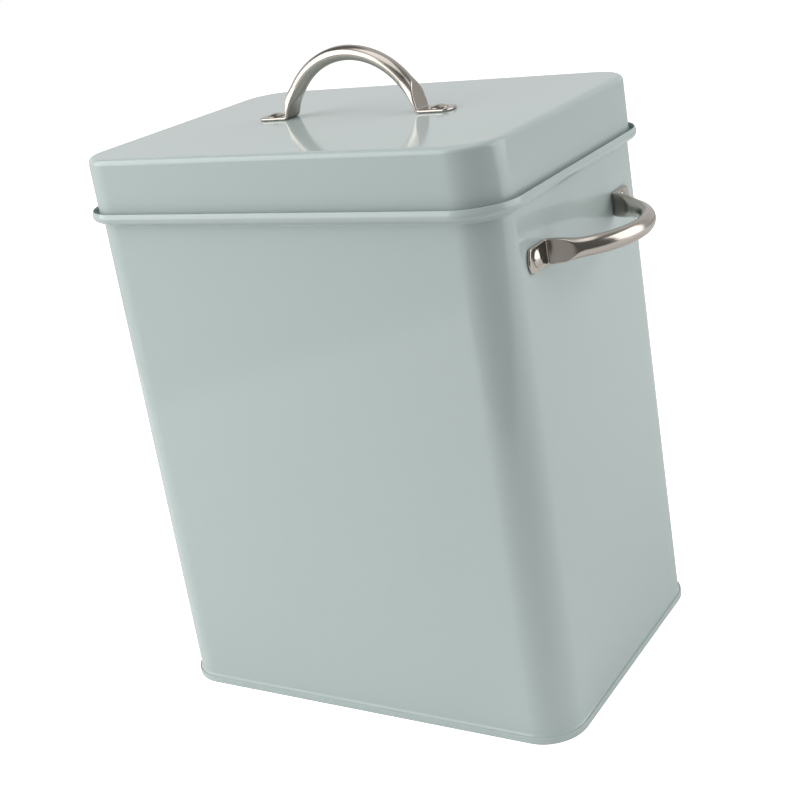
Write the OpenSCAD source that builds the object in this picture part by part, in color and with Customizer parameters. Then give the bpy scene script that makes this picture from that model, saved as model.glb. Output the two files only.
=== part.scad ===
/* [Body] */
// Outside width of the body wall, side to side
body_w = 198; // [150:1:260]
// Outside depth of the body wall, front to back
body_d = 139.4; // [115:0.1:200]
// Outside radius of the upright corners
body_r = 17; // [12:0.5:24]
// Height above the floor at which the wall turns out into the rim
ledge_z = 220.4; // [140:0.1:300]
// Thickness of the painted steel sheet
sheet = 0.5; // [0.4:0.05:0.7]

/* [Rim] */
// Rise of the rim's shelf, in degrees above level
shelf_rise = 30; // [20:1:40]
// Length of the straight part of the shelf
shelf_len = 3.2; // [2.6:0.1:5]
// Bend from the wall into the shelf, at the middle of the sheet
shelf_bend_r = 1; // [0.6:0.1:1.6]
// Roll from the shelf up into the lip, at the middle of the sheet
lip_bend_r = 2.2; // [1.4:0.1:3]
// Lean of the lip towards the lid, in degrees
lip_lean = 14; // [0:1:20]
// Straight height of the lip above its roll
lip_len = 1.4; // [0.8:0.1:2.4]

/* [Bottom seam] */
// How far the wall steps out at the seam
seam_step = 0.65; // [0.4:0.05:1]
// Slope of that step, in degrees from upright
seam_angle = 40; // [30:1:50]
// Outer bend of the step, at the middle of the sheet
seam_bend_r = 0.6; // [0.4:0.1:0.8]
// Height of the base's edge where it is folded up round the wall
seam_h = 3; // [2.4:0.1:5]
// Height of the base panel's top face above the floor
panel_z = 4.2; // [3.4:0.1:8]
// Bends of the base's edge, at the middle of the sheet
fold_r = 0.5; // [0.4:0.05:0.7]
// Gap left between the sheets in the seam
seam_gap = 0.05; // [0.02:0.01:0.1]

/* [Side seam] */
// Width of the folded seam inside the back wall
lock_w = 6; // [4:0.5:10]
// Width and depth of the joint line outside
lock_line = 0.25; // [0.15:0.05:0.35]
// Length by which the folded seam stops short of the base and of the rim
lock_end_gap = 2; // [1:0.5:6]

/* [Lid] */
// How far the lid's skirt stands outside the body wall
lid_over = 1.2; // [0.9:0.05:1.6]
// Height of the lid from its hem to its top
lid_h = 27.6; // [18:0.1:45]
// Outside radius of the edge round the lid's top
lid_edge_r = 2.5; // [1.5:0.1:5]
// Height of the hem folded up inside the skirt
hem_h = 5; // [3:0.5:10]
// Bend of the hem, at the middle of the sheet
hem_r = 0.35; // [0.35:0.05:0.5]
// Clearance between the hem and the shelf that it sits on
lid_gap = 0.3; // [0.2:0.05:0.4]

/* [Handles] */
// Distance between the two rivets of a handle
rivet_span = 84; // [74:1:100]
// Height of the bow's top above the sheet that it stands on
bow_h = 30; // [26:0.1:40]
// Straight length of each leg, between its crease and the arc over the top
leg_len = 3; // [1:0.5:6]
// Width of the oval bar, across the bow
bar_w = 7.8; // [6:0.1:10]
// Thickness of the oval bar, in the plane of the bow
bar_t = 6.5; // [4:0.1:8]
// Width of the flattened foot
foot_w = 10.4; // [9.5:0.1:13]
// Thickness of the flattened foot
foot_t = 1.4; // [1:0.1:2]
// Length of the foot past its rivet
foot_end = 7; // [5:0.1:9]
// Radius of the foot's end, seen from above
foot_end_r = 7.5; // [7:0.5:14]
// Distance from the rivet in to the crease
crease_in = 7.4; // [6.5:0.1:10]
// Bend at the crease, at the middle of the foot
crease_r = 1.6; // [1.2:0.1:3]
// Length of bar past the crease that is still flat
neck_flat = 2; // [0:0.5:5]
// Length over which the flat neck swells to the full oval underneath, and half of it on the outside
neck_len = 12; // [10:0.5:25]
// Slope of the flat face that the press leaves on the outside of the neck, in degrees from the leg
press_slope = 10; // [4:0.5:14]
// Depth of the side handles' rivets below the ledge line
side_drop = 21.2; // [12:0.1:60]

/* [Rivets] */
// Diameter of the rivet's domed head
head_d = 7.4; // [5:0.1:8]
// Height of the rivet's domed head
head_h = 1.3; // [0.8:0.1:2.2]
// Diameter of the rivet's shank
shank_d = 3.2; // [2.4:0.1:4]
// Diameter of the tail that is set inside
tail_d = 5.4; // [4.6:0.1:7]
// Height of the tail that is set inside
tail_h = 1; // [0.6:0.1:1.6]
// Clearance between the shank and its holes, on the radius
rivet_gap = 0.05; // [0.03:0.01:0.1]

/* [Hidden] */
$fn = 64;
paint = "#b3c2bf";
steel = "#b8b4ae";

// Steps of a bend in a sheet's section, and a margin for cuts
bend_step = 12;
cut = 1;

// Lid, from the body that it fits
lid_w = body_w + 2 * lid_over;
lid_d = body_d + 2 * lid_over;
lid_r = body_r + lid_over;

// Shelf's upper face where it leaves its bend, out from the wall and up from the ledge line
shelf_x = shelf_bend_r * (1 - sin(shelf_rise)) - sheet / 2 - sheet / 2 * sin(shelf_rise);
shelf_z = shelf_bend_r * cos(shelf_rise) + sheet / 2 * cos(shelf_rise);

// Round lower edge of the hem, and the height at which it sits on the shelf
hem_out_r = hem_r + sheet / 2;
hem_x = lid_over - hem_out_r;
hem_z = ledge_z + shelf_z + (hem_x - shelf_x) * tan(shelf_rise) + (hem_out_r + lid_gap) / cos(shelf_rise) - hem_out_r;
lid_top = hem_z + lid_h;

// Side handles' rivets
side_z = ledge_z - side_drop;

// Wall's step at the seam: the inner bend takes what the outer one leaves
seam_bends = seam_step / (1 - cos(seam_angle));
hook_z = sheet + seam_gap;
wall_z = seam_h + seam_bends * sin(seam_angle);

// Bow: one arc that the straight legs run into
crease_x = rivet_span / 2 - crease_in;
crease_z = foot_t / 2 + crease_r;
bow_top = bow_h - bar_t / 2;
bow_drop = bow_top - crease_z;
bow_r = (crease_x * crease_x + bow_drop * bow_drop - crease_r * crease_r - leg_len * leg_len)
    / (2 * (crease_r + bow_drop));
bow_turn = atan2(crease_x, bow_r - bow_drop) - atan2(leg_len, bow_r + crease_r);
arc_len = bow_r * bow_turn * PI / 90;

// Points round the bar and steps along it
bar_points = 22;
bar_step = 4;

// A place in a section is [out, up, heading]. A move is [length, 0] straight on, or [radius, turn] with
// a turn to the left counted positive.
function moved(at, move, part) =
    move[1] == 0
        ? [at[0] + move[0] * part * cos(at[2]), at[1] + move[0] * part * sin(at[2]), at[2]]
        : let (side = sign(move[1]), way = at[2] + move[1] * part)
          [at[0] + side * move[0] * (sin(way) - sin(at[2])), at[1] - side * move[0] * (cos(way) - cos(at[2])), way];

function steps(move, step) = move[1] == 0 ? 1 : ceil(abs(move[1]) / step);

function walk(at, moves, step, i = 0) =
    i == len(moves)
        ? [at]
        : concat([for (k = [0 : steps(moves[i], step) - 1]) moved(at, moves[i], k / steps(moves[i], step))],
                 walk(moved(at, moves[i], 1), moves, step, i + 1));

function beside(at, gap) = [at[0] - gap * sin(at[2]), at[1] + gap * cos(at[2])];

// Section of a sheet that follows a walk
module strip(start, moves) {
    places = walk(start, moves, bend_step);
    last = len(places) - 1;
    polygon(concat([for (at = places) beside(at, sheet / 2)],
                   [for (i = [last : -1 : 0]) beside(places[i], -sheet / 2)]));
}

// Carries a section round a rounded rectangle, with the section's zero on the outline
module around(w, d, r) {
    for (turn = [0 : 90 : 270]) {
        long = turn % 180 == 0 ? d : w;
        wide = turn % 180 == 0 ? w : d;
        rotate(turn) translate([wide / 2, long / 2 - r, 0]) rotate([90, 0, 0]) linear_extrude(long - 2 * r) children();
        rotate(turn) translate([wide / 2 - r, long / 2 - r, 0]) rotate_extrude(angle = 90) translate([r, 0]) children();
    }
}

module rounded_rect(w, d, r) {
    square([w, d - 2 * r], center = true);
    square([w - 2 * r, d], center = true);
    for (x = [-1, 1], y = [-1, 1]) translate([x * (w / 2 - r), y * (d / 2 - r)]) circle(r);
}

// Flat sheet inside a swept edge, which ends short of the outline by inset
module plate(w, d, r, inset, z) {
    translate([0, 0, z]) linear_extrude(sheet) rounded_rect(w - 2 * inset, d - 2 * inset, r - inset);
}

// Places of the handles, each with the bow standing away from its sheet
module on_lid() translate([0, 0, lid_top]) children();
module on_side(side) translate([side * body_w / 2, 0, side_z]) rotate([90, 0, side * 90]) children();

module at_rivet(end) translate([end * rivet_span / 2, 0, 0]) children();

module rivet_holes() {
    for (end = [-1, 1]) at_rivet(end) translate([0, 0, -sheet - cut])
        cylinder(d = shank_d + 2 * rivet_gap, h = sheet + foot_t + 2 * cut);
}

module body_shell() {
    wall_moves = [[seam_h - hook_z, 0], [seam_bend_r, seam_angle], [seam_bends - seam_bend_r, -seam_angle],
                  [ledge_z - wall_z, 0]];
    rim_moves = [[shelf_bend_r, shelf_rise - 90], [shelf_len, 0], [lip_bend_r, 90 - shelf_rise + lip_lean],
                 [lip_len, 0]];
    lock_z = panel_z + lock_end_gap;
    lock_h = ledge_z - lock_end_gap - lock_z;
    color(paint) difference() {
        union() {
            around(body_w, body_d, body_r) strip([seam_step - sheet / 2, hook_z, 90], concat(wall_moves, rim_moves));
            translate([-lock_w / 2, body_d / 2 - 3 * sheet, lock_z]) cube([lock_w, 2.5 * sheet, lock_h]);
        }
        translate([lock_w / 2, body_d / 2 - lock_line, lock_z]) cube([lock_line, lock_line + cut, lock_h]);
        for (side = [-1, 1]) on_side(side) rivet_holes();
    }
}

module base_panel() {
    inner_x = -sheet - seam_gap - sheet / 2;
    outer_x = seam_step + seam_gap + sheet / 2;
    inset = fold_r - inner_x;
    color(paint) {
        around(body_w, body_d, body_r)
            strip([-inset, panel_z - sheet / 2, 0],
                  [[fold_r, -90], [panel_z - sheet - 2 * fold_r, 0], [fold_r, 90], [outer_x - inner_x - 2 * fold_r, 0],
                   [fold_r, 90], [seam_h - sheet / 2 - fold_r, 0]]);
        plate(body_w, body_d, body_r, inset, panel_z - sheet);
    }
}

module lid_shell() {
    color(paint) difference() {
        union() {
            around(lid_w, lid_d, lid_r)
                strip([-sheet / 2 - 2 * hem_r, hem_z + hem_h, 270],
                      [[hem_h - hem_out_r, 0], [hem_r, 180], [lid_h - hem_out_r - lid_edge_r, 0],
                       [lid_edge_r - sheet / 2, 90]]);
            plate(lid_w, lid_d, lid_r, lid_edge_r, lid_top - sheet);
        }
        on_lid() rivet_holes();
    }
}

// Flattening of the bar at a distance past the crease: 1 in the foot, 0 in the full oval
function flatness(run) =
    let (x = min(max((run - neck_flat) / neck_len, 0), 1))
    1 - x * x * (3 - 2 * x);

// Half of the bar's thickness, from the foot to the full oval
function half_bar(flat) = bar_t / 2 + (foot_t - bar_t) / 2 * flat;

// Height of the pressed face above the bar's middle line, which curves away under it
function face_z(run) =
    let (turned = max(run - leg_len, 0) / bow_r * 180 / PI)
    (bow_r + foot_t / 2) / cos(min(turned, 45)) - bow_r + run * tan(press_slope);

// Outline of the bar: two half ovals drawn apart by the flat between them, pressed flat on the outside
function bar_ring(at, run) =
    let (flat = flatness(run),
         half_w = bar_w / 2 + (foot_w - bar_w) / 2 * flat,
         round_x = bar_w / 2 + (foot_t - bar_w) / 2 * flat,
         full = sin(90 - 180 / bar_points))
    [for (k = [0 : bar_points - 1])
        let (a = 360 * k / bar_points,
             round_z = half_bar(a < 180 ? flatness(2 * run) : flat) / full * sin(a),
             off = beside(at, min(round_z, face_z(run))))
        [off[0], sign(cos(a)) * (half_w - round_x) + round_x * cos(a), off[1]]];

// Bow handle, made from one bar with flattened feet, standing on the plane z = 0
module bow_handle() {
    end_x = rivet_span / 2 + foot_end;
    foot = walk([-end_x, foot_t / 2, 0], [[end_x - crease_x, 0], [crease_r, bow_turn]], 4 * bar_step);
    bow = walk(foot[len(foot) - 1], [[leg_len, 0], [bow_r, -2 * bow_turn], [leg_len, 0]], bar_step);
    near_foot = [for (i = [0 : len(foot) - 2]) foot[i]];
    far_foot = [for (i = [len(foot) - 2 : -1 : 0]) [-foot[i][0], foot[i][1], -foot[i][2]]];
    span = len(bow) - 1;
    rings = concat([for (at = near_foot) bar_ring(at, 0)],
                   [for (k = [0 : span])
                       let (near = min(k, span - k))
                       bar_ring(bow[k], near == 0 ? 0 : leg_len + arc_len * (near - 1) / (span - 2))],
                   [for (at = far_foot) bar_ring(at, 0)]);
    last = len(rings) - 1;
    sides = [for (i = [0 : last - 1], k = [0 : bar_points - 1])
                let (a = i * bar_points, next = (k + 1) % bar_points)
                [a + k, a + next, a + bar_points + next, a + bar_points + k]];
    near_end = [for (k = [bar_points - 1 : -1 : 0]) k];
    far_end = [for (k = [0 : bar_points - 1]) last * bar_points + k];
    end_centre = end_x - foot_end_r;
    color(steel) difference() {
        intersection() {
            polyhedron([for (ring = rings) each ring], concat(sides, [near_end, far_end]), convexity = 6);
            translate([0, 0, -cut]) linear_extrude(bow_h + 2 * cut) {
                square([2 * end_centre, foot_w + 2 * cut], center = true);
                for (end = [-1, 1]) translate([end * end_centre, 0]) circle(foot_end_r);
            }
        }
        rivet_holes();
    }
}

// Rivet with its head on the foot and its tail inside the sheet
module rivet() {
    dome_r = (head_d * head_d / 4 + head_h * head_h) / (2 * head_h);
    color(steel) rotate_extrude() {
        intersection() {
            translate([0, foot_t + head_h - dome_r]) circle(dome_r);
            translate([0, foot_t]) square([head_d / 2, head_h]);
        }
        translate([0, -sheet - tail_h / 2]) square([shank_d / 2, foot_t + sheet + tail_h / 2 + head_h / 2]);
        translate([0, -sheet - tail_h]) square([tail_d / 2 - tail_h / 2, tail_h]);
        intersection() {
            translate([tail_d / 2 - tail_h / 2, -sheet - tail_h / 2]) circle(tail_h / 2);
            translate([0, -sheet - tail_h]) square([tail_d / 2, tail_h]);
        }
    }
}

module lid_handle() on_lid() bow_handle();
module side_handle(side) on_side(side) bow_handle();
module lid_rivet(end) on_lid() at_rivet(end) rivet();
module side_rivet(side, end) on_side(side) at_rivet(end) rivet();

body_shell();
base_panel();
lid_shell();
lid_handle();
side_handle(-1);  // side_handle_left
side_handle(1);  // side_handle_right
lid_rivet(-1);  // lid_rivet_left
lid_rivet(1);  // lid_rivet_right
side_rivet(-1, 1);  // left_rivet_front
side_rivet(-1, -1);  // left_rivet_rear
side_rivet(1, -1);  // right_rivet_front
side_rivet(1, 1);  // right_rivet_rear
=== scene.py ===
import math

import bmesh
import bpy
from mathutils import Matrix, Vector


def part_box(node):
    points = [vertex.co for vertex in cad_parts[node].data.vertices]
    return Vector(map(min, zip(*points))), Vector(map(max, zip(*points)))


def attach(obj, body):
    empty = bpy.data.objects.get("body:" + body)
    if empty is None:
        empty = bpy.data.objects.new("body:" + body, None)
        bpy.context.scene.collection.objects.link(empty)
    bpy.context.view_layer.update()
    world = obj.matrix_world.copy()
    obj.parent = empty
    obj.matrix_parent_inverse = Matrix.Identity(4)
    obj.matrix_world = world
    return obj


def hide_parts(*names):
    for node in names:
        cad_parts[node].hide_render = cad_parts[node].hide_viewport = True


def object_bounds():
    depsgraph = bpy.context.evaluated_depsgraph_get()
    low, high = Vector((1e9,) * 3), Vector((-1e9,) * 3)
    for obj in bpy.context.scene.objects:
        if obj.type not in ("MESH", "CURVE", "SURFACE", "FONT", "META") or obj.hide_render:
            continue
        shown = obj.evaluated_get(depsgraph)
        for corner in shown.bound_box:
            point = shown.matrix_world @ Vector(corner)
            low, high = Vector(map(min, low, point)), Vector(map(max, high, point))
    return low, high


bl_info = {
    "name": "Laundry Powder Tin",
    "version": (1, 0, 0),
    "blender": (4, 5, 0),
    "location": "View3D > Sidebar > Tin",
    "description": "Painted sheet-steel tin with a lift-off lid and riveted bow handles",
    "category": "Add Mesh",
}

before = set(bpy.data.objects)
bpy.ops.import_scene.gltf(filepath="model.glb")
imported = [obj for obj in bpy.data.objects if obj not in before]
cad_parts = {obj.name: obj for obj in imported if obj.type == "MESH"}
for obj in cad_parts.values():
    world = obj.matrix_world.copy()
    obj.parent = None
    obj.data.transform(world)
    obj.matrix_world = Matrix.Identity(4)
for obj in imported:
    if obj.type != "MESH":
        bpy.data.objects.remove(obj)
CAD_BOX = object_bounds()

MM = 0.001
LID_LOW, LID_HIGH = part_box("lid_shell")
BOW_LOW, BOW_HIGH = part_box("lid_handle")

# Steps of a bend in a sheet, of a rounded cut edge and of an upright corner
BEND_STEP = math.radians(7.5)
EDGE_STEPS = 8
CORNER_STEPS = 40

# Points round the bar, rings in the foot's rounded end, rings along the flat foot, and the steps between
# rings in the crease, on the necks and over the top
BAR_POINTS = 96
END_RINGS = 8
FOOT_RINGS = 24
CREASE_STEP = math.radians(6)
NECK_STEP = 0.3 * MM
TOP_STEP = 1.0 * MM

# Steps of a rivet's dome and tail, and points round it
DOME_STEP = math.radians(2.5)
TAIL_STEP = math.radians(15)
RIVET_TURNS = 48

# Points closer than this become one point: on a sheet, and on a bar or rivet
SHEET_WELD = 0.001 * MM
BAR_WELD = 0.002 * MM

# Edges that turn more than this stay sharp
SHARP_ANGLE = math.radians(40)

# The arc has left the pressed face's plane long before it has turned this far
FACE_TURN = math.radians(45)

# A piece's box stays this close to its CAD nodes' box
FIT_LIMIT = 0.3 * MM

# Brightness of the studio's surroundings on the tin's left and on its right, then the share of it that is
# left below the table and in the gap beside the left lamp
LEFT_GLOW = 0.68
RIGHT_GLOW = 0.14
BELOW_TABLE = 0.88
LAMP_GAP = 0.25

# The card that the tin stands on: the bearing of its front left edge, in degrees, how far off its edges
# lie, in metres, and the light that it gives off towards the camera
CARD_BEARING = -58.9
CARD_FRONT_EDGE = 0.501
CARD_NEAR_EDGE = 0.42
CARD_FAR_EDGE = 2.5
CARD_LIFT = 0.85

# Camera: where it stands, the bearing and height that it looks down from, its roll, lens and shift
CAMERA_AT = (348.778 * MM, -511.301 * MM, 348.627 * MM)
CAMERA_AZIMUTH = math.radians(31.8667)
CAMERA_ELEVATION = math.radians(16.4285)
CAMERA_ROLL = math.radians(-8.8162)
CAMERA_LENS = 65.2606
CAMERA_SHIFT = (-0.05625, -0.1375)


def length(name, description, default, low=0.0):
    """A length that the user can change, in metres."""
    return bpy.props.FloatProperty(name=name, description=description, default=default, min=low,
                                   unit="LENGTH", subtype="DISTANCE", precision=5)


def turn(name, description, degrees):
    """An angle that the user can change."""
    return bpy.props.FloatProperty(name=name, description=description, default=math.radians(degrees),
                                   unit="ROTATION", subtype="ANGLE")


def srgb(text):
    """Linear colour of an sRGB hex value such as #B3C2BF."""
    values = [int(text[i:i + 2], 16) / 255 for i in (1, 3, 5)]
    return tuple(v / 12.92 if v <= 0.04045 else ((v + 0.055) / 1.055) ** 2.4 for v in values)


def colour(name, description, text):
    """A colour that the user can change."""
    return bpy.props.FloatVectorProperty(name=name, description=description, default=srgb(text),
                                         size=3, min=0.0, max=1.0, subtype="COLOR")


class TinSizes(bpy.types.PropertyGroup):
    """Sizes of the tin's sheets, rim and seams."""

    sheet: length("Sheet", "Thickness of the painted steel sheet", 0.5 * MM)
    corner_r: length("Corner radius", "Outside radius of the body's upright corners", 17 * MM)
    ledge_z: length("Ledge height", "Height at which the wall turns out into the rim", 220.4 * MM)
    shelf_rise: turn("Shelf rise", "Rise of the rim's shelf above level", 30)
    shelf_len: length("Shelf length", "Straight part of the rim's shelf", 3.2 * MM)
    shelf_bend_r: length("Shelf bend", "Bend from the wall into the shelf", 1 * MM)
    lip_bend_r: length("Lip roll", "Roll from the shelf up into the lip", 2.2 * MM)
    lip_lean: turn("Lip lean", "Lean of the lip towards the lid", 14)
    lip_len: length("Lip height", "Straight height of the lip above its roll", 1.4 * MM)
    seam_step: length("Seam step", "How far the wall steps out at the bottom seam", 0.65 * MM)
    seam_angle: turn("Seam slope", "Slope of that step from upright", 40)
    seam_bend_r: length("Seam bend", "Outer bend of the step", 0.6 * MM)
    seam_h: length("Seam height", "Height of the base's edge folded up round the wall", 3 * MM)
    panel_z: length("Panel height", "Height of the base panel's top face", 4.2 * MM)
    fold_r: length("Base fold", "Bends of the base's edge", 0.5 * MM)
    seam_gap: length("Seam gap", "Gap between the sheets in the seam", 0.05 * MM)
    lock_w: length("Side seam width", "Width of the folded seam inside the back wall", 6 * MM)
    lock_line: length("Joint line", "Width and depth of the joint line outside", 0.25 * MM)
    lock_end_gap: length("Side seam end", "Length by which the side seam stops short", 2 * MM)
    lid_over: length("Lid overhang", "How far the lid's skirt stands outside the wall", 1.2 * MM)
    lid_edge_r: length("Lid edge", "Outside radius of the edge round the lid's top", 2.5 * MM)
    hem_h: length("Hem height", "Height of the hem folded up inside the skirt", 5 * MM)
    hem_r: length("Hem bend", "Bend of the hem", 0.35 * MM)


class HandleSizes(bpy.types.PropertyGroup):
    """Sizes of the bow handles and their rivets."""

    rivet_span: length("Rivet span", "Distance between a handle's two rivets", 84 * MM)
    bar_w: length("Bar width", "Width of the oval bar across the bow", 7.8 * MM)
    bar_t: length("Bar thickness", "Thickness of the oval bar in the bow's plane", 6.5 * MM)
    foot_w: length("Foot width", "Width of the flattened foot", 10.4 * MM)
    foot_t: length("Foot thickness", "Thickness of the flattened foot", 1.4 * MM)
    foot_end_r: length("Foot end radius", "Radius of the foot's end seen from above", 7.5 * MM)
    foot_corner_r: length("Foot corner", "Radius of the two corners at the foot's end", 1 * MM)
    crease_in: length("Crease inset", "Distance from the rivet in to the crease", 7.4 * MM)
    crease_r: length("Crease bend", "Bend at the crease, at the foot's middle", 1.6 * MM)
    leg_len: length("Leg length", "Straight length of each leg between its crease and the arc", 3 * MM)
    neck_flat: length("Flat neck", "Length past the crease that stays flat", 2 * MM)
    neck_len: length("Swelling neck", "Length over which the neck swells underneath", 12 * MM)
    press_slope: turn("Press slope", "Slope of the pressed face on the neck's outside, from the leg", 10)
    press_edge: length("Pressed edge", "Softness of the ridge round the pressed face", 0.45 * MM)
    side_z: length("Side handle height", "Height of the side handles' rivets", 199.2 * MM)
    head_d: length("Head diameter", "Diameter of the rivet's domed head", 7.4 * MM)
    head_h: length("Head height", "Height of the rivet's domed head", 1.3 * MM)
    head_edge: length("Head edge", "Upright edge under the dome", 0.25 * MM)
    shank_d: length("Shank diameter", "Diameter of the rivet's shank", 3.2 * MM)
    tail_d: length("Tail diameter", "Diameter of the tail set inside", 5.4 * MM)
    tail_h: length("Tail height", "Height of the tail set inside", 1 * MM)


class TinColours(bpy.types.PropertyGroup):
    """Colours of the finishes."""

    paint: colour("Enamel", "Colour of the stoved enamel", "#B5C2C0")
    steel: colour("Stainless steel", "Colour of the satin stainless steel", "#BAB3AB")
    floor: colour("Floor", "Colour of the card that the tin stands on", "#F2F2F2")


def add(tree, kind, inputs=None, **settings):
    """Adds a node with its settings, and fills or links its inputs by name or number."""
    made = tree.nodes.new(kind)
    for name, value in settings.items():
        setattr(made, name, value)
    for key, value in (inputs or {}).items():
        if isinstance(value, bpy.types.NodeSocket):
            tree.links.new(value, made.inputs[key])
        else:
            made.inputs[key].default_value = value
    return made


def new_material(name):
    """An empty node material and its tree."""
    material = bpy.data.materials.new(name)
    material.use_nodes = True
    material.node_tree.nodes.clear()
    return material, material.node_tree


def stoved_enamel(tint):
    """Stoved gloss enamel on sheet steel, sprayed and baked."""
    # A smooth, wet-looking coat with clear reflections, which a faint orange peel and the sheet's own
    # slow waves make a little unsteady. The tone drifts by a hair where the spray lay thicker.
    material, tree = new_material("stoved_gloss_enamel")
    place = add(tree, "ShaderNodeTexCoord").outputs["Object"]
    drift = add(tree, "ShaderNodeTexNoise", {"Vector": place, "Scale": 1 / (90 * MM), "Detail": 2.0})
    thin = [0.985 * c for c in tint]
    coat = add(tree, "ShaderNodeMix", {0: drift.outputs[0], 6: (*thin, 1), 7: (*tint, 1)}, data_type="RGBA")
    wave = add(tree, "ShaderNodeTexNoise", {"Vector": place, "Scale": 1 / (60 * MM), "Detail": 1.0})
    peel = add(tree, "ShaderNodeTexNoise", {"Vector": place, "Scale": 1 / (1.8 * MM), "Detail": 2.0})
    waves = add(tree, "ShaderNodeBump", {"Height": wave.outputs[0], "Strength": 1.0, "Distance": 0.03 * MM})
    skin = add(tree, "ShaderNodeBump", {"Height": peel.outputs[0], "Normal": waves.outputs[0],
                                        "Strength": 1.0, "Distance": 0.0015 * MM})
    gloss = add(tree, "ShaderNodeBsdfPrincipled", {
        "Base Color": coat.outputs[2], "Roughness": 0.1, "IOR": 1.5, "Normal": skin.outputs[0]})
    add(tree, "ShaderNodeOutputMaterial", {"Surface": gloss.outputs[0]})
    return material


def satin_stainless(tint):
    """Satin stainless steel, drawn through abrasive along the bar."""
    # Fine lines along the bar stretch each highlight across it, so the bow shows broad bands of light
    # and dark, with a bright thread along each edge and crease.
    material, tree = new_material("satin_stainless_steel")
    run = add(tree, "ShaderNodeUVMap", uv_map="along").outputs[0]
    # The lines are about 0.2 mm apart and 12 mm long, coarser than the real grit so that they show.
    grain = add(tree, "ShaderNodeMapping", {"Vector": run, "Scale": (1 / (12 * MM), 1 / (0.2 * MM), 1)})
    lines = add(tree, "ShaderNodeTexNoise", {"Vector": grain.outputs[0], "Scale": 1.0, "Detail": 3.0})
    rough = add(tree, "ShaderNodeMapRange", {"Value": lines.outputs[0], "From Min": 0.3, "From Max": 0.7,
                                             "To Min": 0.15, "To Max": 0.23})
    skin = add(tree, "ShaderNodeBump", {"Height": lines.outputs[0], "Strength": 0.5, "Distance": 0.004 * MM})
    metal = add(tree, "ShaderNodeBsdfPrincipled", {
        "Base Color": (*tint, 1), "Metallic": 1.0, "Roughness": rough.outputs[0], "Normal": skin.outputs[0]})
    add(tree, "ShaderNodeOutputMaterial", {"Surface": metal.outputs[0]})
    return material


def polished_rivet_steel(tint):
    """Cold-headed steel rivet, tumbled bright."""
    # The dome is smoother than the bar beside it and has tiny tumbling marks, so it holds one crisp glint.
    material, tree = new_material("tumbled_rivet_steel")
    place = add(tree, "ShaderNodeTexCoord").outputs["Object"]
    marks = add(tree, "ShaderNodeTexNoise", {"Vector": place, "Scale": 1 / (0.5 * MM), "Detail": 3.0})
    rough = add(tree, "ShaderNodeMapRange", {"Value": marks.outputs[0], "From Min": 0.3, "From Max": 0.7,
                                             "To Min": 0.12, "To Max": 0.2})
    skin = add(tree, "ShaderNodeBump", {"Height": marks.outputs[0], "Strength": 0.5, "Distance": 0.01 * MM})
    metal = add(tree, "ShaderNodeBsdfPrincipled", {
        "Base Color": (*tint, 1), "Metallic": 1.0, "Roughness": rough.outputs[0], "Normal": skin.outputs[0]})
    add(tree, "ShaderNodeOutputMaterial", {"Surface": metal.outputs[0]})
    return material


def walk(place, moves, step=BEND_STEP):
    """Places (out, up, heading) along a section. A move is (length, 0) straight on or (radius, turn left)."""
    places = [place]
    for size, bend in moves:
        out, up, way = places[-1]
        if bend == 0:
            places.append((out + size * math.cos(way), up + size * math.sin(way), way))
            continue
        side = math.copysign(size, bend)
        count = math.ceil(abs(bend) / step)
        for k in range(1, count + 1):
            now = way + bend * k / count
            places.append((out + side * (math.sin(now) - math.sin(way)),
                           up - side * (math.cos(now) - math.cos(way)), now))
    return places


def beside(place, gap):
    """The point at that distance to the left of a place."""
    out, up, way = place
    return (out - gap * math.sin(way), up + gap * math.cos(way))


def round_edge(place, sheet, way_out):
    """Points round a sheet's cut edge, from its left face to its right one, or back at its start."""
    out, up, way = place
    turns = [math.pi / 2 - math.pi * k / EDGE_STEPS for k in range(1, EDGE_STEPS)]
    start = way if way_out else way + math.pi
    return [(out + sheet / 2 * math.cos(start + t), up + sheet / 2 * math.sin(start + t)) for t in turns]


def outline(places, sheet, open_end=None):
    """Both faces of a sheet that follows a walk. It is left open where a flat plate joins it."""
    left = [beside(p, sheet / 2) for p in places]
    right = [beside(p, -sheet / 2) for p in reversed(places)]
    far = round_edge(places[-1], sheet, True)
    near = round_edge(places[0], sheet, False)
    if open_end == "start":
        return left + far + right
    if open_end == "end":
        return right + near + left
    return left + far + right + near


def group_tree(name, inputs):
    """A geometry node group with the named inputs. Returns the tree, its input node and the sockets' ids."""
    tree = bpy.data.node_groups.new(name, "GeometryNodeTree")
    tree.interface.new_socket("Geometry", in_out="INPUT", socket_type="NodeSocketGeometry")
    tree.interface.new_socket("Geometry", in_out="OUTPUT", socket_type="NodeSocketGeometry")
    ids = {}
    for label, kind in inputs.items():
        ids[label] = tree.interface.new_socket(label, in_out="INPUT", socket_type=kind).identifier
    return tree, add(tree, "NodeGroupInput"), ids


def grow(obj, tree, ids, values):
    """The plain mesh that a node group makes of an object, with the named inputs set."""
    modifier = obj.modifiers.new(tree.name, "NODES")
    modifier.node_group = tree
    for label, value in values.items():
        modifier[ids[label]] = value
    mesh = bpy.data.meshes.new_from_object(obj.evaluated_get(bpy.context.evaluated_depsgraph_get()))
    obj.modifiers.remove(modifier)
    return mesh


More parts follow.
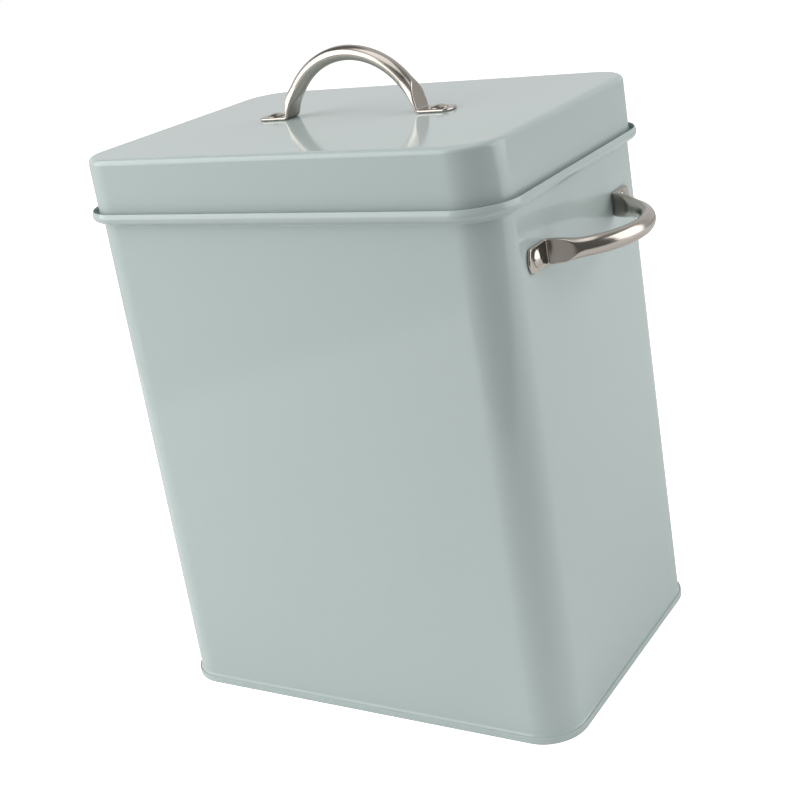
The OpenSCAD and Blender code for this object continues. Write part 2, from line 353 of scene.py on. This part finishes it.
def sweep_tree():
    """Carries a sheet's section round a rounded rectangle."""
    tree, given, ids = group_tree("sheet_round_the_footprint", {
        "Width": "NodeSocketFloat", "Depth": "NodeSocketFloat", "Corner radius": "NodeSocketFloat",
        "Corner steps": "NodeSocketInt", "Finish": "NodeSocketMaterial"})
    box = add(tree, "GeometryNodeCurvePrimitiveQuadrilateral", {
        "Width": given.outputs["Width"], "Height": given.outputs["Depth"]}, mode="RECTANGLE")
    path = add(tree, "GeometryNodeFilletCurve", {
        "Curve": box.outputs[0], "Count": given.outputs["Corner steps"],
        "Radius": given.outputs["Corner radius"]}, mode="POLY")
    section = add(tree, "GeometryNodeMeshToCurve", {"Mesh": given.outputs["Geometry"]})
    skin = add(tree, "GeometryNodeCurveToMesh", {
        "Curve": path.outputs[0], "Profile Curve": section.outputs[0]})
    smooth = add(tree, "GeometryNodeSetShadeSmooth", {"Geometry": skin.outputs[0]})
    real = add(tree, "GeometryNodeRealizeInstances", {"Geometry": smooth.outputs[0]})
    done = add(tree, "GeometryNodeSetMaterial", {
        "Geometry": real.outputs[0], "Material": given.outputs["Finish"]})
    add(tree, "NodeGroupOutput", {"Geometry": done.outputs[0]})
    return tree, ids


def section_object(name, points, closed):
    """A thin line of edges through (x, y) points, to serve as a section."""
    mesh = bpy.data.meshes.new(name)
    edges = [(k, k + 1) for k in range(len(points) - 1)] + ([(len(points) - 1, 0)] if closed else [])
    mesh.from_pydata([(x, y, 0) for x, y in points], edges, [])
    made = bpy.data.objects.new(name, mesh)
    bpy.context.scene.collection.objects.link(made)
    return made


def even_shading(obj):
    """Shades each vertex by its largest faces, so that flat sheet stays flat beside its bends."""
    obj.data.set_sharp_from_angle(angle=SHARP_ANGLE)
    weighted = obj.modifiers.new("even_shading", "WEIGHTED_NORMAL")
    weighted.keep_sharp = True
    graph = bpy.context.evaluated_depsgraph_get()
    settled = bpy.data.meshes.new_from_object(obj.evaluated_get(graph), preserve_all_data_layers=True,
                                              depsgraph=graph)
    settled.name = obj.data.name
    obj.modifiers.clear()
    obj.data = settled


def piece(name, mesh, body, slot, material, *nodes):
    """Puts a finished mesh in the scene as a piece that rides on a body and stands for CAD nodes."""
    mesh.name = name
    made = bpy.data.objects.new(name, mesh)
    bpy.context.scene.collection.objects.link(made)
    mesh.materials.clear()
    mesh.materials.append(material)
    even_shading(made)
    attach(made, body)
    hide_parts(*nodes)
    fits(made, nodes)


def fits(made, nodes):
    """Stops the script where a piece isn't as large as the CAD nodes that it stands for."""
    boxes = [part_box(node) for node in nodes]
    for axis in range(3):
        values = [v.co[axis] for v in made.data.vertices]
        low = min(b[0][axis] for b in boxes)
        high = max(b[1][axis] for b in boxes)
        if abs(min(values) - low) > FIT_LIMIT or abs(max(values) - high) > FIT_LIMIT:
            raise RuntimeError(f"{made.name} runs from {min(values):.5f} to {max(values):.5f} along axis "
                               f"{axis}, and its CAD nodes from {low:.5f} to {high:.5f}")


def swept_sheet(points, closed, wide, deep, corner, material):
    """A section carried round the footprint, with any flat plate filled in, as an outward-facing mesh."""
    tree, ids = sweep_tree()
    # Curve to Mesh lays a section's second axis downwards, so the section is given upside down.
    section = section_object("section", [(out, -up) for out, up in points], closed)
    mesh = grow(section, tree, ids, {"Width": wide, "Depth": deep, "Corner radius": corner,
                                     "Corner steps": CORNER_STEPS, "Finish": material})
    bpy.data.objects.remove(section)
    shell = bmesh.new()
    shell.from_mesh(mesh)
    bmesh.ops.remove_doubles(shell, verts=shell.verts, dist=SHEET_WELD)
    bmesh.ops.holes_fill(shell, edges=[e for e in shell.edges if e.is_boundary], sides=0)
    bmesh.ops.recalc_face_normals(shell, faces=shell.faces)
    for face in shell.faces:
        face.smooth = True
    shell.to_mesh(mesh)
    shell.free()
    return mesh


def block(name, low, high):
    """A closed block between two corners, for a Boolean."""
    mesh = bpy.data.meshes.new(name)
    solid = bmesh.new()
    bmesh.ops.create_cube(solid, size=1.0)
    middle = [(a + b) / 2 for a, b in zip(low, high)]
    for corner in solid.verts:
        corner.co = Vector(m + c * (b - a) for m, c, a, b in zip(middle, corner.co, low, high))
    solid.to_mesh(mesh)
    solid.free()
    made = bpy.data.objects.new(name, mesh)
    bpy.context.scene.collection.objects.link(made)
    return made


def carve(mesh, steps):
    """Joins blocks to a mesh or cuts them from it. steps are (operation, block object)."""
    host = bpy.data.objects.new("host", mesh)
    bpy.context.scene.collection.objects.link(host)
    for operation, other in steps:
        modifier = host.modifiers.new(operation, "BOOLEAN")
        modifier.operation = operation
        modifier.solver = "EXACT"
        modifier.object = other
    carved = bpy.data.meshes.new_from_object(host.evaluated_get(bpy.context.evaluated_depsgraph_get()))
    bpy.data.objects.remove(host)
    for _, other in steps:
        bpy.data.objects.remove(other)
    return carved


def wall_size(sizes):
    """Width and depth of the body wall, from the lid that fits it."""
    return (LID_HIGH.x - LID_LOW.x - 2 * sizes.lid_over, LID_HIGH.y - LID_LOW.y - 2 * sizes.lid_over)


class TIN_OT_body(bpy.types.Operator):
    """Makes the folded body wall with its rim gutter and lock seam"""

    bl_idname = "tin.body"
    bl_label = "Body shell"

    def execute(self, context):
        s = context.scene.tin_sizes
        wide, deep = wall_size(s)
        hook_z = s.sheet + s.seam_gap
        bends = s.seam_step / (1 - math.cos(s.seam_angle))
        wall_z = s.seam_h + bends * math.sin(s.seam_angle)
        places = walk((s.seam_step - s.sheet / 2, hook_z, math.pi / 2), [
            (s.seam_h - hook_z, 0), (s.seam_bend_r, s.seam_angle), (bends - s.seam_bend_r, -s.seam_angle),
            (s.ledge_z - wall_z, 0), (s.shelf_bend_r, s.shelf_rise - math.pi / 2), (s.shelf_len, 0),
            (s.lip_bend_r, math.pi / 2 - s.shelf_rise + s.lip_lean), (s.lip_len, 0)])
        paint = stoved_enamel(context.scene.tin_colours.paint)
        mesh = swept_sheet(outline(places, s.sheet), True, wide, deep, s.corner_r, paint)
        low = s.panel_z + s.lock_end_gap
        high = s.ledge_z - s.lock_end_gap
        seam = block("seam", (-s.lock_w / 2, deep / 2 - 3 * s.sheet, low),
                     (s.lock_w / 2, deep / 2 - s.sheet / 2, high))
        line = block("line", (s.lock_w / 2, deep / 2 - s.lock_line, low),
                     (s.lock_w / 2 + s.lock_line, deep / 2 + s.sheet, high))
        mesh = carve(mesh, [("UNION", seam), ("DIFFERENCE", line)])
        piece("body", mesh, "tin", "body_paint", paint, "body_shell")
        return {"FINISHED"}


class TIN_OT_base(bpy.types.Operator):
    """Makes the base panel with its edge folded up round the wall"""

    bl_idname = "tin.base"
    bl_label = "Base panel"

    def execute(self, context):
        s = context.scene.tin_sizes
        wide, deep = wall_size(s)
        inner = -s.sheet - s.seam_gap - s.sheet / 2
        outer = s.seam_step + s.seam_gap + s.sheet / 2
        right_angle = math.pi / 2
        places = walk((inner - s.fold_r, s.panel_z - s.sheet / 2, 0), [
            (s.fold_r, -right_angle), (s.panel_z - s.sheet - 2 * s.fold_r, 0), (s.fold_r, right_angle),
            (outer - inner - 2 * s.fold_r, 0), (s.fold_r, right_angle),
            (s.seam_h - s.sheet / 2 - s.fold_r, 0)])
        paint = stoved_enamel(context.scene.tin_colours.paint)
        mesh = swept_sheet(outline(places, s.sheet, "start"), False, wide, deep, s.corner_r, paint)
        piece("base", mesh, "tin", "base_paint", paint, "base_panel")
        return {"FINISHED"}


class TIN_OT_lid(bpy.types.Operator):
    """Makes the pressed lid with its rounded edge and folded hem"""

    bl_idname = "tin.lid"
    bl_label = "Lid"

    def execute(self, context):
        s = context.scene.tin_sizes
        low, high = LID_LOW.z, LID_HIGH.z
        hem_out = s.hem_r + s.sheet / 2
        places = walk((-s.sheet / 2 - 2 * s.hem_r, low + s.hem_h, -math.pi / 2), [
            (s.hem_h - hem_out, 0), (s.hem_r, math.pi), (high - low - hem_out - s.lid_edge_r, 0),
            (s.lid_edge_r - s.sheet / 2, math.pi / 2)])
        paint = stoved_enamel(context.scene.tin_colours.paint)
        mesh = swept_sheet(outline(places, s.sheet, "end"), False, LID_HIGH.x - LID_LOW.x,
                           LID_HIGH.y - LID_LOW.y, s.corner_r + s.lid_over, paint)
        piece("lid_top", mesh, "lid", "lid_paint", paint, "lid_shell")
        return {"FINISHED"}


def ease(x):
    """Smooth step from 0 to 1."""
    x = min(max(x, 0.0), 1.0)
    return x * x * (3 - 2 * x)


def soft_least(a, b, soft):
    """The lesser of two heights, rounded where they meet."""
    mix = min(max(0.5 + 0.5 * (b - a) / soft, 0.0), 1.0)
    return b + (a - b) * mix - soft * mix * (1 - mix)


def flatness(h, run):
    """Flattening of the bar at a distance past the crease: 1 in the foot, 0 in the full oval."""
    return 1 - ease((run - h.neck_flat) / h.neck_len)


def face_height(h, bow_r, run):
    """Height of the pressed face above the bar's middle line, which curves away under it."""
    turned = min(max(run - h.leg_len, 0.0) / bow_r, FACE_TURN)
    return (bow_r + h.foot_t / 2) / math.cos(turned) - bow_r + run * math.tan(h.press_slope)


def bar_section(h, bow_r, run, points):
    """Section of the bar at a distance past the crease, as (across, outward) points. It is flat in the
    foot, swells into the oval, and keeps the flat of the press on its outside for a while."""
    flat = flatness(h, run)
    half_w = h.bar_w / 2 + (h.foot_w - h.bar_w) / 2 * flat
    round_w = h.bar_w / 2 + (h.foot_t - h.bar_w) / 2 * flat
    under = h.bar_t / 2 + (h.foot_t - h.bar_t) / 2 * flat
    # The outside swells over half the length that the underside takes
    crown = h.bar_t / 2 + (h.foot_t - h.bar_t) / 2 * flatness(h, 2 * run)
    face = face_height(h, bow_r, run)
    # The oval stands clear of the pressed face from the crease on, so that the face is one plane
    if run > 0:
        crown = max(crown, min(face + h.press_edge, h.bar_t / 2))
    ring = []
    for k in range(points):
        a = 2 * math.pi * k / points
        across = half_w * math.cos(a)
        past_flat = max(abs(across) - (half_w - round_w), 0.0) / round_w
        fall = math.sqrt(max(1 - past_flat ** 2, 0.0))
        rise = crown * fall if math.sin(a) > 0 else -under * fall
        if rise > 0 and run > 0:
            rise = soft_least(rise, face, h.press_edge)
        ring.append((across, rise))
    return ring


def bow_mesh(h):
    """One bow handle standing on the plane z = 0, with its length along X."""
    bow_h = BOW_HIGH.z - BOW_LOW.z
    end_x = (BOW_HIGH.x - BOW_LOW.x) / 2
    crease_x = h.rivet_span / 2 - h.crease_in
    crease_z = h.foot_t / 2 + h.crease_r
    drop = bow_h - h.bar_t / 2 - crease_z
    bow_r = (crease_x ** 2 + drop ** 2 - h.crease_r ** 2 - h.leg_len ** 2) / (2 * (h.crease_r + drop))
    bow_turn = math.atan2(crease_x, bow_r - drop) - math.atan2(h.leg_len, bow_r + h.crease_r)
    foot_len = end_x - crease_x
    bow_len = 2 * h.leg_len + 2 * bow_r * bow_turn
    edge = h.foot_t / 2
    shell = bmesh.new()
    rings = []

    def ring(place, run, shift=0.0, thin=1.0, narrow=0.0):
        """Adds a ring round a place on the bar's centre line, shifted along it towards the foot's end."""
        x, z, way = place
        made = []
        for across, out in bar_section(h, bow_r, run, BAR_POINTS):
            across *= 1 - narrow / (h.foot_w / 2)
            back = shift * (h.foot_end_r - math.sqrt(h.foot_end_r ** 2 - across ** 2))
            off = out * thin
            made.append(shell.verts.new((x + back - off * math.sin(way), across, z + off * math.cos(way))))
        rings.append(made)

    # The rounded end, whose rings follow the bowed outline, then the flat foot
    for k in range(END_RINGS + 1):
        angle = math.pi / 2 * k / END_RINGS
        inward = edge * (1 - math.cos(angle))
        corner = max(h.foot_corner_r - inward, 0.0)
        narrow = h.foot_corner_r - math.sqrt(h.foot_corner_r ** 2 - corner ** 2)
        ring((-end_x + inward, h.foot_t / 2, 0.0), 0.0, 1.0, math.sin(angle), narrow)
    for k in range(1, FOOT_RINGS + 1):
        x = -end_x + edge + (foot_len - edge) * k / FOOT_RINGS
        corner = max(h.foot_corner_r - (x + end_x), 0.0)
        narrow = h.foot_corner_r - math.sqrt(h.foot_corner_r ** 2 - corner ** 2)
        ring((x, h.foot_t / 2, 0.0), 0.0, 1.0 - ease(k / FOOT_RINGS), 1.0, narrow)
    crease = walk((-crease_x, h.foot_t / 2, 0.0), [(h.crease_r, bow_turn)], CREASE_STEP)
    for place in crease[1:]:
        ring(place, 0.0)
    # Rings lie close on the necks and wider apart over the top
    neck = h.neck_flat + h.neck_len
    runs, run = [], 0.0
    while run < bow_len / 2:
        run += NECK_STEP if run < neck else TOP_STEP
        runs.append(min(run, bow_len / 2))
    runs += [bow_len - r for r in reversed(runs[:-1])]
    for run in runs:
        on_leg = min(run, h.leg_len)
        on_arc = min(max(run - h.leg_len, 0.0), bow_len - 2 * h.leg_len)
        past = max(run - h.leg_len - on_arc, 0.0)
        over = [(bow_r, -on_arc / bow_r)] if on_arc > 0 else []
        moves = [(on_leg, 0), *over, (past, 0)]
        ring(walk(crease[-1], moves, math.pi)[-1], min(run, bow_len - run))
    half = len(rings) - len(runs)
    first = [[v.co.copy() for v in made] for made in rings[:half]]
    for made in reversed(first[:-1]):
        rings.append([shell.verts.new((-co.x, co.y, co.z)) for co in made])
    along = shell.loops.layers.uv.new("along")
    station = [0.0]
    for a, b in zip(rings, rings[1:]):
        station.append(station[-1] + (a[0].co - b[0].co).length)
    girth = math.pi * (h.bar_w + h.bar_t) / 2
    for i in range(len(rings) - 1):
        for k in range(BAR_POINTS):
            nxt = (k + 1) % BAR_POINTS
            face = shell.faces.new((rings[i][k], rings[i][nxt], rings[i + 1][nxt], rings[i + 1][k]))
            face.smooth = True
            for loop, (step, turn_at) in zip(face.loops, ((0, k), (0, k + 1), (1, k + 1), (1, k))):
                loop[along].uv = (station[i + step], girth * turn_at / BAR_POINTS)
    bmesh.ops.remove_doubles(shell, verts=shell.verts, dist=BAR_WELD)
    bmesh.ops.recalc_face_normals(shell, faces=shell.faces)
    mesh = bpy.data.meshes.new("bow")
    shell.to_mesh(mesh)
    shell.free()
    return mesh


def on_lid():
    """Place of the lid's handle."""
    return Matrix.Translation((0, 0, LID_HIGH.z))


def on_side(side, context):
    """Place of a side handle, standing out from the wall."""
    wide, _ = wall_size(context.scene.tin_sizes)
    place = Matrix.Translation((side * wide / 2, 0, context.scene.handle_sizes.side_z))
    return place @ Matrix.Rotation(side * math.pi / 2, 4, "Z") @ Matrix.Rotation(math.pi / 2, 4, "X")


class TIN_OT_handles(bpy.types.Operator):
    """Makes the three bow handles with their pressed feet"""

    bl_idname = "tin.handles"
    bl_label = "Bow handles"

    def execute(self, context):
        h = context.scene.handle_sizes
        steel = satin_stainless(context.scene.tin_colours.steel)
        bow = bow_mesh(h)
        for name, place, body, node in (("lid_bow", on_lid(), "lid", "lid_handle"),
                                        ("left_bow", on_side(-1, context), "tin", "side_handle_left"),
                                        ("right_bow", on_side(1, context), "tin", "side_handle_right")):
            mesh = bow.copy()
            mesh.transform(place)
            piece(name, mesh, body, "handle_steel", steel, node)
        bpy.data.meshes.remove(bow)
        return {"FINISHED"}


def rivet_outline(h, sheet):
    """Half section of a set rivet, from the top of its dome to the foot of its tail, standing on a foot."""
    head_r = h.head_d / 2
    rise = h.head_h - h.head_edge
    dome_r = (head_r ** 2 + rise ** 2) / (2 * rise)
    dome_turn = math.asin(head_r / dome_r)
    dome = walk((0.0, h.foot_t + h.head_h, 0.0), [(dome_r, -dome_turn)], DOME_STEP)
    points = [(out, up) for out, up, _ in dome]
    # The edge under the dome bulges a little and turns in where it meets the foot
    bulge, turn_up, turn_in = 0.04 * MM, 0.02 * MM, 0.05 * MM
    points += [(head_r + bulge, h.foot_t + h.head_edge / 2), (head_r, h.foot_t + turn_up),
               (head_r - turn_in, h.foot_t), (h.shank_d / 2, h.foot_t), (h.shank_d / 2, -sheet)]
    tail = walk((h.tail_d / 2 - h.tail_h / 2, -sheet, 0.0), [(h.tail_h / 2, -math.pi)], TAIL_STEP)
    return points + [(out, up) for out, up, _ in tail] + [(0.0, -sheet - h.tail_h)]


def rivet_tree():
    """Turns a half section into a rivet and sets one on each point, along its outward vector."""
    tree, given, ids = group_tree("rivets_on_feet", {
        "Section": "NodeSocketObject", "Turns": "NodeSocketInt", "Finish": "NodeSocketMaterial"})
    section = add(tree, "GeometryNodeObjectInfo", {"Object": given.outputs["Section"]})
    # The half section stands on a circle so small that it turns about the circle's middle
    ring = add(tree, "GeometryNodeCurvePrimitiveCircle", {"Resolution": given.outputs["Turns"],
                                                          "Radius": 0.0001 * MM}, mode="RADIUS")
    half = add(tree, "GeometryNodeMeshToCurve", {"Mesh": section.outputs["Geometry"]})
    turned = add(tree, "GeometryNodeCurveToMesh", {
        "Curve": ring.outputs[0], "Profile Curve": half.outputs[0]})
    closed = add(tree, "GeometryNodeMergeByDistance", {"Geometry": turned.outputs[0], "Distance": BAR_WELD})
    outward = add(tree, "GeometryNodeInputNamedAttribute", {"Name": "outward"}, data_type="FLOAT_VECTOR")
    stand = add(tree, "FunctionNodeAlignRotationToVector", {"Vector": outward.outputs[0]}, axis="Z")
    set_in = add(tree, "GeometryNodeInstanceOnPoints", {
        "Points": given.outputs["Geometry"], "Instance": closed.outputs[0], "Rotation": stand.outputs[0]})
    real = add(tree, "GeometryNodeRealizeInstances", {"Geometry": set_in.outputs[0]})
    smooth = add(tree, "GeometryNodeSetShadeSmooth", {"Geometry": real.outputs[0]})
    done = add(tree, "GeometryNodeSetMaterial", {
        "Geometry": smooth.outputs[0], "Material": given.outputs["Finish"]})
    add(tree, "NodeGroupOutput", {"Geometry": done.outputs[0]})
    return tree, ids


class TIN_OT_rivets(bpy.types.Operator):
    """Sets the domed rivets on the handles' feet"""

    bl_idname = "tin.rivets"
    bl_label = "Rivets"

    def execute(self, context):
        h = context.scene.handle_sizes
        steel = polished_rivet_steel(context.scene.tin_colours.steel)
        tree, ids = rivet_tree()
        half = [(out, -up) for out, up in rivet_outline(h, context.scene.tin_sizes.sheet)]
        section = section_object("rivet_section", half, False)
        groups = (
            ("lid_rivets", "lid", [on_lid()], ("lid_rivet_left", "lid_rivet_right")),
            ("side_rivets", "tin", [on_side(-1, context), on_side(1, context)],
             ("left_rivet_front", "left_rivet_rear", "right_rivet_front", "right_rivet_rear")))
        for name, body, places, nodes in groups:
            spots = [(place @ Vector((end * h.rivet_span / 2, 0, 0)), place.to_3x3() @ Vector((0, 0, 1)))
                     for place in places for end in (-1, 1)]
            mesh = bpy.data.meshes.new("spots")
            mesh.from_pydata([spot for spot, _ in spots], [], [])
            outward = mesh.attributes.new("outward", "FLOAT_VECTOR", "POINT")
            for value, (_, way) in zip(outward.data, spots):
                value.vector = way
            holder = bpy.data.objects.new("spots", mesh)
            context.scene.collection.objects.link(holder)
            rivets = grow(holder, tree, ids, {"Section": section, "Turns": RIVET_TURNS, "Finish": steel})
            bpy.data.objects.remove(holder)
            shell = bmesh.new()
            shell.from_mesh(rivets)
            bmesh.ops.recalc_face_normals(shell, faces=shell.faces)
            shell.to_mesh(rivets)
            shell.free()
            piece(name, rivets, body, "rivet_steel", steel, *nodes)
        bpy.data.objects.remove(section)
        return {"FINISHED"}


def compass(azimuth, elevation=0.0):
    """Unit vector towards a bearing: 0 is the front, -Y, and 90 is +X, in degrees."""
    a, e = math.radians(azimuth), math.radians(elevation)
    return Vector((math.sin(a) * math.cos(e), -math.cos(a) * math.cos(e), math.sin(e)))


def softbox(name, azimuth, elevation, distance, wide, high, radiance):
    """A diffused lamp that faces the tin's middle, given by the brightness of its face."""
    data = bpy.data.lights.new(name, "AREA")
    data.shape = "RECTANGLE"
    data.size = wide
    data.size_y = high
    data.energy = radiance * math.pi * wide * high
    lamp = bpy.data.objects.new(name, data)
    middle = (CAD_BOX[0] + CAD_BOX[1]) / 2
    away = compass(azimuth, elevation)
    lamp.location = middle + away * distance
    lamp.rotation_euler = away.to_track_quat("Z", "Y").to_euler()
    bpy.context.scene.collection.objects.link(lamp)


def studio_world():
    """White studio surroundings, which the tin sees darker on its right and below the table."""
    world = bpy.data.worlds.new("white_studio")
    world.use_nodes = True
    tree = world.node_tree
    tree.nodes.clear()
    way = add(tree, "ShaderNodeTexCoord").outputs["Generated"]
    # The room fades from light on the left to dark on the right
    toward = add(tree, "ShaderNodeVectorMath", {0: way, 1: compass(70, 8)}, operation="DOT_PRODUCT")
    glow = add(tree, "ShaderNodeMapRange", {
        "Value": toward.outputs["Value"], "From Min": -0.2, "From Max": 0.8,
        "To Min": LEFT_GLOW, "To Max": RIGHT_GLOW}, interpolation_type="SMOOTHSTEP")
    height = add(tree, "ShaderNodeSeparateXYZ", {0: way})
    below = add(tree, "ShaderNodeMapRange", {"Value": height.outputs["Z"], "From Min": -0.15, "From Max": 0.0,
                                             "To Min": BELOW_TABLE, "To Max": 1.0})
    around = add(tree, "ShaderNodeMath", {0: glow.outputs[0], 1: below.outputs[0]}, operation="MULTIPLY")
    # The room shows dark between the left lamp and the studio's back wall
    beside_lamp = add(tree, "ShaderNodeVectorMath", {0: way, 1: compass(-108, 50)}, operation="DOT_PRODUCT")
    gap = add(tree, "ShaderNodeMapRange", {"Value": beside_lamp.outputs["Value"], "From Min": 0.87,
                                           "From Max": 0.94, "To Min": 1.0, "To Max": LAMP_GAP})
    walls = add(tree, "ShaderNodeMath", {0: around.outputs[0], 1: gap.outputs[0]}, operation="MULTIPLY")
    rays = add(tree, "ShaderNodeLightPath")
    seen = add(tree, "ShaderNodeMix", {0: rays.outputs["Is Camera Ray"], 2: walls.outputs[0], 3: 1.0},
               data_type="FLOAT")
    sky = add(tree, "ShaderNodeBackground", {"Color": (1, 1, 1, 1), "Strength": seen.outputs[0]})
    add(tree, "ShaderNodeOutputWorld", {"Surface": sky.outputs[0]})
    bpy.context.scene.world = world


def white_card(tint):
    """Matt white card."""
    # For the camera it fades into the white background. The tin mirrors it as plain card.
    material, tree = new_material("matt_white_card")
    place = add(tree, "ShaderNodeTexCoord").outputs["Object"]
    tooth = add(tree, "ShaderNodeTexNoise", {"Vector": place, "Scale": 1 / (0.8 * MM), "Detail": 2.0})
    skin = add(tree, "ShaderNodeBump", {"Height": tooth.outputs[0], "Strength": 0.2, "Distance": 0.02 * MM})
    plain = add(tree, "ShaderNodeBsdfDiffuse", {"Color": (*tint, 1), "Normal": skin.outputs[0]})
    lift = add(tree, "ShaderNodeEmission", {"Color": (1, 1, 1, 1), "Strength": CARD_LIFT})
    lifted = add(tree, "ShaderNodeAddShader", {0: plain.outputs[0], 1: lift.outputs[0]})
    rays = add(tree, "ShaderNodeLightPath")
    shown = add(tree, "ShaderNodeMixShader", {
        0: rays.outputs["Is Camera Ray"], 1: plain.outputs[0], 2: lifted.outputs[0]})
    add(tree, "ShaderNodeOutputMaterial", {"Surface": shown.outputs[0]})
    return material


class TIN_OT_stage(bpy.types.Operator):
    """Makes the floor, the lamps, the white surroundings and the camera"""

    bl_idname = "tin.stage"
    bl_label = "Stage"

    def execute(self, context):
        scene = context.scene
        # The front wall mirrors the card's front left edge
        front = compass(CARD_BEARING)
        aside = Vector((-front.y, front.x, 0))
        corners = [front * a + aside * b for a in (CARD_FRONT_EDGE, -CARD_FAR_EDGE)
                   for b in (-CARD_FAR_EDGE, CARD_NEAR_EDGE)]
        mesh = bpy.data.meshes.new("floor")
        mesh.from_pydata(corners, [], [(0, 1, 3, 2)])
        mesh.materials.append(white_card(scene.tin_colours.floor))
        floor = bpy.data.objects.new("floor", mesh)
        scene.collection.objects.link(floor)
        shell = bmesh.new()
        shell.from_mesh(mesh)
        bmesh.ops.recalc_face_normals(shell, faces=shell.faces)
        if shell.faces[:][0].normal.z < 0:
            bmesh.ops.reverse_faces(shell, faces=shell.faces)
        shell.to_mesh(mesh)
        shell.free()

        studio_world()
        softbox("left_front_softbox", -46, 27, distance=0.9, wide=1.0, high=0.9, radiance=2.25)
        softbox("right_softbox", 112, 18, distance=1.1, wide=0.9, high=1.0, radiance=2.25)
        softbox("overhead_softbox", 40, 78, distance=1.2, wide=1.0, high=0.9, radiance=1.2)

        data = bpy.data.cameras.new("camera")
        data.lens = CAMERA_LENS
        data.shift_x, data.shift_y = CAMERA_SHIFT
        data.clip_start = 0.01
        camera = bpy.data.objects.new("camera", data)
        back = compass(math.degrees(CAMERA_AZIMUTH), math.degrees(CAMERA_ELEVATION))
        right = Vector((math.cos(CAMERA_AZIMUTH), math.sin(CAMERA_AZIMUTH), 0))
        up = back.cross(right)
        level = Matrix((right, up, back)).transposed()
        camera.matrix_world = (Matrix.Translation(CAMERA_AT) @ level.to_4x4()
                               @ Matrix.Rotation(CAMERA_ROLL, 4, "Z"))
        scene.collection.objects.link(camera)
        scene.camera = camera
        scene.view_settings.view_transform = "Standard"
        return {"FINISHED"}


class TIN_PT_panel(bpy.types.Panel):
    """Lists the tin's pieces"""

    bl_idname = "TIN_PT_panel"
    bl_label = "Laundry powder tin"
    bl_space_type = "VIEW_3D"
    bl_region_type = "UI"
    bl_category = "Tin"

    def draw(self, context):
        for operator in OPERATORS:
            self.layout.operator(operator.bl_idname)
        for group in (context.scene.tin_sizes, context.scene.handle_sizes, context.scene.tin_colours):
            for name in group.__annotations__:
                self.layout.prop(group, name)


OPERATORS = (TIN_OT_stage, TIN_OT_body, TIN_OT_base, TIN_OT_lid, TIN_OT_handles, TIN_OT_rivets)
CLASSES = (TinSizes, HandleSizes, TinColours, *OPERATORS, TIN_PT_panel)


def register():
    for item in CLASSES:
        bpy.utils.register_class(item)
    bpy.types.Scene.tin_sizes = bpy.props.PointerProperty(type=TinSizes)
    bpy.types.Scene.handle_sizes = bpy.props.PointerProperty(type=HandleSizes)
    bpy.types.Scene.tin_colours = bpy.props.PointerProperty(type=TinColours)


def unregister():
    del bpy.types.Scene.tin_colours
    del bpy.types.Scene.handle_sizes
    del bpy.types.Scene.tin_sizes
    for item in reversed(CLASSES):
        bpy.utils.unregister_class(item)


def main():
    """Builds the tin."""
    register()
    bpy.ops.tin.stage()
    bpy.ops.tin.body()
    bpy.ops.tin.base()
    bpy.ops.tin.lid()
    bpy.ops.tin.handles()
    bpy.ops.tin.rivets()


if __name__ == "__main__":
    main()
